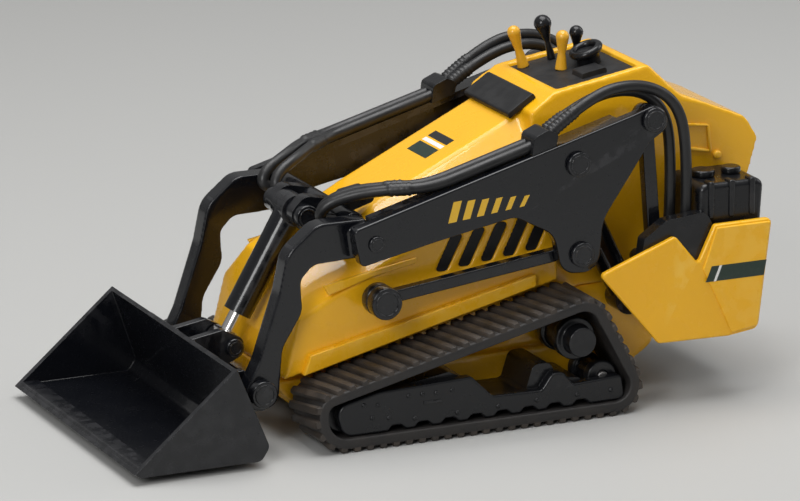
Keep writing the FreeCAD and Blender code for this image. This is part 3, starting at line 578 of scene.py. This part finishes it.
def placed_along(tree, given, result, points, shape, rotation):
    """Copies of a shape on points, made real and given the finish; returns the placing node."""
    place = tree.nodes.new("GeometryNodeInstanceOnPoints")
    tree.links.new(points, place.inputs["Points"])
    tree.links.new(shape, place.inputs["Instance"])
    feed(tree, place.inputs["Rotation"], rotation)
    real = tree.nodes.new("GeometryNodeRealizeInstances")
    tree.links.new(place.outputs["Instances"], real.inputs["Geometry"])
    paint = tree.nodes.new("GeometryNodeSetMaterial")
    tree.links.new(real.outputs["Geometry"], paint.inputs["Geometry"])
    tree.links.new(given["Finish"], paint.inputs["Material"])
    tree.links.new(paint.outputs["Geometry"], result["Geometry"])
    return place


def build_ring_tree():
    """A ring of the point's own radius on each point, facing sideways."""
    tree, given, result = new_tree("raised_rings", [("Thickness", "NodeSocketFloat"),
                                                    ("Finish", "NodeSocketMaterial")])
    path = tree.nodes.new("GeometryNodeCurvePrimitiveCircle")
    path.inputs["Resolution"].default_value = 40
    path.inputs["Radius"].default_value = 1.0
    cross = tree.nodes.new("GeometryNodeCurvePrimitiveCircle")
    cross.inputs["Resolution"].default_value = 8
    tree.links.new(given["Thickness"], cross.inputs["Radius"])
    ring = tree.nodes.new("GeometryNodeCurveToMesh")
    tree.links.new(path.outputs["Curve"], ring.inputs["Curve"])
    tree.links.new(cross.outputs["Curve"], ring.inputs["Profile Curve"])
    radius = tree.nodes.new("GeometryNodeInputNamedAttribute")
    radius.data_type = "FLOAT"
    radius.inputs["Name"].default_value = "head_radius"
    place = placed_along(tree, given, result, given["Geometry"], ring.outputs["Mesh"], (math.pi / 2, 0.0, 0.0))
    tree.links.new(radius.outputs["Attribute"], place.inputs["Scale"])
    return tree


ring_tree = build_ring_tree()
RIVET_B = (-18.1, 23.2)
RIVET_EYE = (-17.4, 36.1)
RIVET_FRONT = (12.9, 28.2)
arm_pivot = joint_place["lift_arm_raise"]
tilt_top = joint_place["tilt_barrel_swing"]
link_pivot = joint_place["control_link_swing"]
rear_pivot = joint_place["rear_link_swing"]
bucket_pivot = joint_place["bucket_tilt"]
ROD_FOOT = (27.7, 11.6)
# (x, z, face of the head from the centre plane, ring radius), by body
HEADS = {
    "lift_arm": [(*RIVET_B, 19.2, 1.25), (*RIVET_EYE, 19.2, 1.25), (arm_pivot.x, arm_pivot.z, 19.2, 1.25),
                 (*RIVET_FRONT, 18.9, 0.75), (tilt_top.x, tilt_top.z, 5.9, 1.2)],
    "root": [(link_pivot.x, link_pivot.z, 18.7, 1.65), (rear_pivot.x, rear_pivot.z, 17.3, 1.15)],
    "bucket": [(bucket_pivot.x, bucket_pivot.z, 17.0, 1.35), (*ROD_FOOT, 4.5, 0.85)],
}
RING_THICK = 0.09
for body, heads in HEADS.items():
    points = [(x, face * sign, z, radius) for x, z, face, radius in heads for sign in (1, -1)]
    mesh = bpy.data.meshes.new("head_rings_" + body)
    mesh.from_pydata([(x * MM, y * MM, z * MM) for x, y, z, _ in points], [], [])
    radii = mesh.attributes.new("head_radius", "FLOAT", "POINT")
    radii.data.foreach_set("value", [radius * MM for _, _, _, radius in points])
    rings = grown("head_rings_" + body, mesh, ring_tree, {"Thickness": RING_THICK, "Finish": black_enamel})
    smooth_shaded(rings.data)
    finish(rings, black_enamel, body)

# ------------------------------------------------------------------ rubber tracks
# Each track is one moulded rubber belt: a smooth band that carries slanted bars across its
# outside. The rubber is dull and brownish and dustier on the bars; the band under and beside the bars is
# painted darker as shade.


def build_rubber_skin():
    """Moulded rubber: dusty tone on high spots, blotches, fine grain and scuffs."""
    tree, given, result = new_group("rubber_skin", [
        ("Position", "NodeSocketVector", None),
        ("Colour", "NodeSocketColor", (0.03, 0.03, 0.03, 1.0)),
        ("Dust Colour", "NodeSocketColor", (0.12, 0.10, 0.08, 1.0)),
        ("Dust", "NodeSocketFloat", 0.4),
        ("Roughness", "NodeSocketFloat", 0.6),
    ], [("Colour", "NodeSocketColor"), ("Roughness", "NodeSocketFloat"), ("Height", "NodeSocketFloat")])
    place = given["Position"]
    curve = tree.nodes.new("ShaderNodeNewGeometry").outputs["Pointiness"]
    raised = remap(tree, curve, 0.49, 0.56, 0.15, 1.0)
    blotch = remap(tree, cloud(tree, place, 3.0, 5.0, 0.6), 0.35, 0.68, 0.2, 1.0)
    dust = sums(tree, "MULTIPLY", sums(tree, "MULTIPLY", raised, blotch), given["Dust"], clamp=True)
    tree.links.new(blend_colour(tree, dust, given["Colour"], given["Dust Colour"]), result["Colour"])
    grain = cloud(tree, place, 0.25, 3.0, 0.6)
    rough = sums(tree, "ADD", given["Roughness"], remap(tree, blotch, 0.0, 1.0, -0.08, 0.12))
    tree.links.new(rough, result["Roughness"])
    tree.links.new(grain, result["Height"])
    return tree


rubber_skin = build_rubber_skin()


def rubber(name, colour, dusty, dust, roughness, relief):
    """Dull rubber on the shared rubber skin group."""
    values = {"Colour": (*colour, 1.0), "Dust Colour": (*dusty, 1.0), "Dust": dust, "Roughness": roughness}
    return surfaced(name, rubber_skin, values, relief, 0.06)[0]


track_rubber = rubber("track_rubber", (0.016, 0.0145, 0.0135), (0.070, 0.054, 0.042), 0.75, 0.52, 0.5)
# The band is a darker copy of the bar rubber: painted shade under and beside the bars.
shaded_band_rubber = rubber("track_band_shaded_rubber", (0.012, 0.0115, 0.012), (0.045, 0.037, 0.031), 0.5, 0.5, 0.4)

belt_low, belt_high = (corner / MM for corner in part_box("track_belt_left"))
BELT_CORNERS = [(23.0, 0.0, 5.0), (23.0, 8.3, 3.2), (-19.6, 18.3, 4.5), (-29.6, 0.0, 4.3)]
BELT_THICK = 2.0
BAR_HIGH = 0.55
BAR_PITCH = 1.95
BAR_HALF = 0.66
BAR_SLANT = 0.16
BAR_SIDE_GAP = 0.05
BAND_EDGE = 0.28


def rounded_path(corners, turn_step=7.5):
    """Points (place, outward normal) round a closed (x, z, radius) outline, in mm."""
    path = []
    count = len(corners)
    for i, (x, z, radius) in enumerate(corners):
        here = Vector((x, z))
        back = (Vector(corners[i - 1][:2]) - here).normalized()
        ahead = (Vector(corners[(i + 1) % count][:2]) - here).normalized()
        half = back.angle(ahead) / 2
        centre = here + (back + ahead).normalized() * (radius / math.sin(half))
        first = Vector((-back.y, back.x))
        turn = math.pi - 2 * half
        steps = max(2, round(math.degrees(turn) / turn_step))
        start = math.atan2(first.y, first.x)
        for k in range(steps + 1):
            angle = start + turn * k / steps
            normal = Vector((math.cos(angle), math.sin(angle)))
            path.append((centre + normal * radius, normal))
    return path


def belt_band(path, start, end):
    """Closed band along the path between y = start and y = end, with rounded edges."""
    top, bottom, r = BAR_HIGH, BELT_THICK, BAND_EDGE
    t = r * 0.3
    section = [(top + r, start), (top + t, start + t), (top, start + r), (top, end - r), (top + t, end - t),
               (top + r, end), (bottom - r, end), (bottom - t, end - t), (bottom, end - r), (bottom, start + r),
               (bottom - t, start + t), (bottom - r, start)]
    shape = bmesh.new()
    rings = []
    for point, normal in path:
        ring = []
        for inset, y in section:
            place = point - normal * inset
            ring.append(shape.verts.new((place.x * MM, y * MM, place.y * MM)))
        rings.append(ring)
    for i, ring in enumerate(rings):
        following = rings[(i + 1) % len(rings)]
        for k in range(len(section)):
            j = (k + 1) % len(section)
            shape.faces.new((ring[k], ring[j], following[j], following[k]))
    return closed_mesh("band", shape)


def tread_bar(width):
    """One slanted bar, its foot at the origin and its crown towards -Z, leaning along the belt."""
    shape = bmesh.new()
    sections = ((-0.5, 0.72), (-0.46, 1.0), (0.46, 1.0), (0.5, 0.72))
    crown = ((-1.0, 0.25), (-0.88, -0.62 * BAR_HIGH), (-0.6, -BAR_HIGH), (0.6, -BAR_HIGH),
             (0.88, -0.62 * BAR_HIGH), (1.0, 0.25))
    rings = []
    for share, swell in sections:
        y = share * width
        rings.append([shape.verts.new(((BAR_HALF * u * swell + BAR_SLANT * y) * MM, y * MM,
                                       v * (swell if v < 0 else 1.0) * MM)) for u, v in crown])
    for first, second in zip(rings, rings[1:]):
        for k in range(len(crown)):
            j = (k + 1) % len(crown)
            shape.faces.new((first[k], first[j], second[j], second[k]))
    shape.faces.new(rings[0][::-1])
    shape.faces.new(rings[-1])
    return closed_mesh("tread_bar", shape)


def build_tread_tree():
    """Bars at an even pitch along a closed path, their backs to the path's inside."""
    tree, given, result = new_tree("tread_bars", [("Bar", "NodeSocketObject"), ("Pitch", "NodeSocketFloat"),
                                                  ("Finish", "NodeSocketMaterial")])
    curve = tree.nodes.new("GeometryNodeMeshToCurve")
    tree.links.new(given["Geometry"], curve.inputs["Mesh"])
    even = tree.nodes.new("GeometryNodeResampleCurve")
    even.mode = "LENGTH"
    tree.links.new(curve.outputs["Curve"], even.inputs["Curve"])
    tree.links.new(given["Pitch"], even.inputs["Length"])
    turn = tree.nodes.new("FunctionNodeAlignRotationToVector")
    turn.axis = "X"
    turn.pivot_axis = "Y"
    tree.links.new(tree.nodes.new("GeometryNodeInputTangent").outputs["Tangent"], turn.inputs["Vector"])
    source = tree.nodes.new("GeometryNodeObjectInfo")
    tree.links.new(given["Bar"], source.inputs["Object"])
    placed_along(tree, given, result, even.outputs["Curve"], source.outputs["Geometry"],
                 turn.outputs["Rotation"])
    return tree


tread_tree = build_tread_tree()
belt_path = rounded_path(BELT_CORNERS)
belt_width = belt_high.y - belt_low.y
bar_source = add_object("bar_source", tread_bar(belt_width - 2 * BAR_SIDE_GAP))
for side, sign in SIDES.items():
    inner, outer = sorted((belt_low.y * sign, belt_high.y * sign))
    middle_y = (inner + outer) / 2
    line = bpy.data.meshes.new("belt_line")
    ring = [point - normal * BAR_HIGH for point, normal in belt_path]
    line.from_pydata([(p.x * MM, middle_y * MM, p.y * MM) for p in ring],
                     [(i, (i + 1) % len(ring)) for i in range(len(ring))], [])
    bars = grown("track_bars_" + side, line, tread_tree,
                 {"Bar": bar_source, "Pitch": BAR_PITCH * MM, "Finish": track_rubber})
    # a slanted bar on a bend would reach past the belt's outline at its ends
    for vertex in bars.data.vertices:
        vertex.co.z = max(vertex.co.z, 0.0)
        vertex.co.x = min(vertex.co.x, BELT_CORNERS[0][0] * MM)
    smooth_shaded(bars.data)
    bars.data.set_sharp_from_angle(angle=math.radians(40))
    finish(bars, track_rubber, "root")
    band = add_object("track_band_" + side, belt_band(belt_path, inner, outer))
    smooth_shaded(band.data)
    finish(band, shaded_band_rubber, "root")
    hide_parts("track_belt_" + side)
bpy.data.objects.remove(bar_source)

# ------------------------------------------------------------------ dots and plate on the track frames
# The frames are moulded with small round rivet heads and one plain raised bar on their faces.

FRAME_FACE = 20.3
FRAME_BAR = [(6.7, 5.75), (3.9, 5.75), (3.9, 5.3), (6.7, 5.3)]
FRAME_DOTS = [(8.9, 6.8), (6.9, 6.8), (4.8, 6.7), (2.4, 6.8), (15.6, 6.3), (13.5, 6.1), (14.4, 4.4),
              (11.9, 4.1), (8.0, 3.5), (1.6, 3.5), (-4.6, 3.6), (-10.5, 3.7), (-16.7, 3.7), (-21.9, 3.7)]


def dome(radius, height, steps=5):
    """Profile of a low dome."""
    profile = [(0.0, -0.2), (radius, -0.2)]
    for k in range(steps):
        angle = math.pi / 2 * k / steps
        profile.append((radius * math.cos(angle), height * math.sin(angle)))
    return profile + [(0.0, height)]


for side, sign in SIDES.items():
    turned("frame_dots_" + side,
           [(dome(0.34, 0.24), (x, FRAME_FACE * sign, z), (0, sign, 0)) for x, z in FRAME_DOTS],
           black_plastic, "root", 16)
    prisms("frame_bar_" + side, [(FRAME_BAR, (FRAME_FACE - 0.2) * sign, (FRAME_FACE + 0.18) * sign)], 0.12,
           black_plastic, "root")

# ------------------------------------------------------------------ tank tops
# The side tanks are moulded with three ribs over the top and down the outer wall.

tank_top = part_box("side_tank_left")[1].z / MM
TANK_SIDE = 18.9
RIB_FOOT = 26.0
RIB_HALF = 0.45
for side, sign in SIDES.items():
    ribs = []
    for x in (-37.9, -41.1, -44.3):
        near, far, crest = x + RIB_HALF, x - RIB_HALF, tank_top + 0.35
        outline = [(near, RIB_FOOT), (near, crest), (far, crest), (far, RIB_FOOT)]
        ribs.append((outline, (TANK_SIDE - 1.6) * sign, (TANK_SIDE + 0.32) * sign))
    prisms("tank_ribs_" + side, ribs, 0.3, black_plastic, "root")

# ------------------------------------------------------------------ hoses
# Two flexible rubber hoses lie on each arm, pass its clamp, loop over the rear pivot and go down
# into the tank. At the front they bend inwards and end on the cross tube.

hose_rubber = rubber("hose_rubber", (0.0085, 0.0088, 0.0098), (0.05, 0.048, 0.046), 0.25, 0.36, 0.25)
HOSE_RADIUS = 0.8
ARM_TOP = 34.9
ARM_SLOPE = -0.277


def smooth_line(points):
    """Points of the NURBS line that the control points (mm) give."""
    data = bpy.data.curves.new("hose_line", "CURVE")
    data.dimensions = "3D"
    spline = data.splines.new("NURBS")
    spline.points.add(len(points) - 1)
    for point, place in zip(spline.points, points):
        point.co = (*place, 1.0)
    spline.order_u = 3
    spline.use_endpoint_u = True
    spline.resolution_u = 12
    item = add_object("hose_line", data)
    graph = bpy.context.evaluated_depsgraph_get()
    mesh = bpy.data.meshes.new_from_object(item.evaluated_get(graph))
    line = [vertex.co.copy() for vertex in mesh.vertices]
    bpy.data.meshes.remove(mesh)
    bpy.data.objects.remove(item)
    return line


def finer(line, step):
    """The same line with points at an even spacing of about step."""
    lengths = [0.0]
    for a, b in zip(line, line[1:]):
        lengths.append(lengths[-1] + (b - a).length)
    count = max(8, round(lengths[-1] / step))
    result = []
    k = 0
    for i in range(count + 1):
        goal = lengths[-1] * i / count
        while k < len(line) - 2 and lengths[k + 1] < goal:
            k += 1
        share = (goal - lengths[k]) / max(lengths[k + 1] - lengths[k], 1e-9)
        result.append((line[k].lerp(line[k + 1], share), goal))
    return result


def tube(shape, line, radius_at, segments=16):
    """Add a closed tube to a bmesh; radius_at gives its radius from the length so far, in mm."""
    rings = []
    side = None
    for i, (place, length) in enumerate(line):
        ahead = (line[min(i + 1, len(line) - 1)][0] - line[max(i - 1, 0)][0]).normalized()
        side = (side - ahead * side.dot(ahead)).normalized() if side else ahead.orthogonal().normalized()
        third = ahead.cross(side)
        radius = radius_at(length)
        ring = []
        for k in range(segments):
            angle = 2 * math.pi * k / segments
            spoke = side * math.cos(angle) + third * math.sin(angle)
            ring.append(shape.verts.new((place + spoke * radius) * MM))
        rings.append(ring)
    for first, second in zip(rings, rings[1:]):
        for k in range(segments):
            j = (k + 1) % segments
            shape.faces.new((first[k], first[j], second[j], second[k]))
    shape.faces.new(rings[0][::-1])
    shape.faces.new(rings[-1])


def sleeve(start, end, rib=0.62):
    """Radius of a hose with a ribbed sleeve between two lengths along it."""
    def radius(length):
        if start < length < end:
            return HOSE_RADIUS + 0.12 + 0.07 * math.cos(2 * math.pi * (length - start) / rib)
        return HOSE_RADIUS
    return radius


def hose(name, runs, step=0.35):
    """One piece of hoses; each run is (control points in mm, radius function)."""
    shape = bmesh.new()
    for points, radius_at in runs:
        tube(shape, finer(smooth_line(points), step), radius_at)
    mesh = closed_mesh(name, shape)
    smooth_shaded(mesh)
    mesh.materials.append(hose_rubber)
    return add_object(name, mesh)


OUTER_LOOP = [(-12.4, 39.3), (-19.5, 45.0), (-27.5, 46.3), (-33.8, 42.8), (-35.2, 34.5), (-35.0, 26.6)]
INNER_LOOP = [(-12.4, 39.3), (-19.5, 44.2), (-27.5, 45.2), (-32.4, 41.8), (-33.6, 34.5), (-33.3, 25.6)]
OUTER_Y = 16.85
INNER_Y = 15.15
for side, sign in SIDES.items():
    loop = hose("hose_loop_%s_finish" % side,
                [([(x, OUTER_Y * sign, z) for x, z in OUTER_LOOP], sleeve(2.2, 6.6)),
                 ([(x, INNER_Y * sign, z) for x, z in INNER_LOOP], sleeve(2.2, 5.4))], 0.2)
    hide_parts("hose_loop_" + side)
    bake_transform(loop)


def on_arm(x, y):
    """Centre of a hose that lies on the arm at x."""
    return (x, y, ARM_TOP + ARM_SLOPE * x + HOSE_RADIUS + 0.1)


FRONT_SLEEVE = sleeve(20.0, 23.0)
OUTER_FRONT = [(9.5, 14.2, 34.4), (13.6, 11.4, 33.4), (17.0, 10.2, 32.0), (17.6, 9.6, 29.8), (14.6, 9.4, 29.4)]
INNER_FRONT = [(8.5, 12.6, 34.3), (12.4, 9.6, 33.5), (15.8, 8.3, 32.0), (16.6, 7.6, 29.9), (14.4, 7.4, 29.4)]
arm_runs = []
for sign in SIDES.values():
    for y, bend in ((OUTER_Y, OUTER_FRONT), (INNER_Y, INNER_FRONT)):
        lying = [on_arm(x, y * sign) for x in (-12.6, -3.0, 4.0)]
        arm_runs.append((lying + [(x, bent * sign, z) for x, bent, z in bend], FRONT_SLEEVE))
arm_hoses = hose("arm_hoses_finish", arm_runs)
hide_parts("arm_hoses")
finish(arm_hoses, hose_rubber, "lift_arm")

# ------------------------------------------------------------------ bright parts
# The tilt cylinder's rod is chromed; axles and base screws are plain steel.


def bright_metal(name, colour, roughness, scratch):
    """Polished or plain metal with fine scratches and smears."""
    material, tree, shader, place = new_material(name)
    smear = cloud(tree, place, 2.0, 4.0, 0.6)
    tree.links.new(remap(tree, smear, 0.3, 0.7, roughness, roughness + 0.16), shader.inputs["Roughness"])
    darker = tuple(0.7 * part for part in colour) + (1.0,)
    tree.links.new(blend_colour(tree, remap(tree, smear, 0.45, 0.75, 0.0, 0.6), (*colour, 1.0), darker),
                   shader.inputs["Base Color"])
    add_relief(tree, shader, cloud(tree, place, 0.3, 3.0), scratch, 0.03)
    shader.inputs["Metallic"].default_value = 1.0
    return material


softened("tilt_rod", bright_metal("chrome", (0.82, 0.80, 0.78), 0.08, 0.1), 0.2)
steel = bright_metal("bare_steel", (0.50, 0.49, 0.48), 0.32, 0.3)
softened("track_axles", steel, 0.12)
softened("base_screws", steel, 0.12)

# ------------------------------------------------------------------ printed marks
# Thin printed films: plain slanted yellow bars on the arms, a plain dark band with a pale bar
# on each guard, and three plain stripes across the hood.


def film(name, colour, roughness):
    """Printed film with faintly worn ink."""
    material, tree, shader, place = new_material(name)
    worn = remap(tree, cloud(tree, place, 0.8, 4.0, 0.6), 0.5, 0.8, 0.0, 0.35)
    faded = tuple(0.75 * part + 0.05 for part in colour) + (1.0,)
    tree.links.new(blend_colour(tree, worn, (*colour, 1.0), faded), shader.inputs["Base Color"])
    tree.links.new(remap(tree, worn, 0.0, 0.35, roughness, roughness + 0.2), shader.inputs["Roughness"])
    return material


yellow_film = film("yellow_print", (0.74, 0.44, 0.03), 0.3)
dark_film = film("dark_print", (0.012, 0.030, 0.020), 0.3)
pale_film = film("pale_print", (0.80, 0.80, 0.78), 0.3)
ARM_FACE = 18.5
FILM = 0.03
SINK = 0.05
FIRST_BAR = (2.2, 29.9)
BAR_STEP = 2.15
BAR_LEAN = 0.8
GUARD_BAND = [(-36.0, 17.75), (-36.9, 19.95), (-45.5, 19.95), (-45.1, 17.75)]
GUARD_BAR = [(-37.2, 17.75), (-38.1, 19.95), (-38.5, 19.95), (-37.6, 17.75)]
for side, sign in SIDES.items():
    bars = []
    for k in range(6):
        x = FIRST_BAR[0] - BAR_STEP * k
        z = FIRST_BAR[1] - 0.10 * (x - FIRST_BAR[0])
        tall = 3.0 - 0.28 * k
        wide = 1.25 - 0.1 * k
        outline = [(x, z), (x - wide, z + 0.1), (x - wide - BAR_LEAN, z + tall), (x - BAR_LEAN, z + tall - 0.1)]
        bars.append((outline, (ARM_FACE - SINK) * sign, (ARM_FACE + FILM) * sign))
    prisms("arm_bars_" + side, bars, 0, yellow_film, "lift_arm")
    face = GUARD_FACE + PANEL_RISE
    prisms("guard_band_" + side, [(GUARD_BAND, (face - SINK) * sign, (face + FILM) * sign)], 0, dark_film,
           "root")
    prisms("guard_bar_" + side, [(GUARD_BAR, (face - SINK) * sign, (face + 2 * FILM) * sign)], 0, pale_film,
           "root")

HOOD_NORMAL = (0.432, 0.902)
HOOD_SLOPE = -0.479
HOOD_POINT = (7.0, 30.8)
PATCH_DEPTH = 0.08
PATCH_HALF = 3.0


def hood_patch(name, start, end, material):
    """Thin flat film on the sloping hood between two x values."""
    corners = []
    for x, y in ((start, -PATCH_HALF), (start, PATCH_HALF), (end, PATCH_HALF), (end, -PATCH_HALF)):
        z = HOOD_POINT[1] + HOOD_SLOPE * (x - HOOD_POINT[0]) + HOOD_NORMAL[1] * FILM
        corners.append(((x + HOOD_NORMAL[0] * FILM) * MM, y * MM, z * MM))
    shape = bmesh.new()
    upper = [shape.verts.new(corner) for corner in corners]
    lower = [shape.verts.new((x, y, z - PATCH_DEPTH * MM)) for x, y, z in corners]
    shape.faces.new(upper)
    shape.faces.new(lower[::-1])
    for i in range(4):
        j = (i + 1) % 4
        shape.faces.new((upper[i], lower[i], lower[j], upper[j]))
    finish(add_object(name, closed_mesh(name, shape)), material, "root")


hood_patch("hood_stripe_dark", -1.6, -3.6, dark_film)
hood_patch("hood_stripe_pale", -3.9, -4.5, pale_film)
hood_patch("hood_stripe_black", -4.8, -6.0, film("black_print", (0.012, 0.012, 0.014), 0.3))
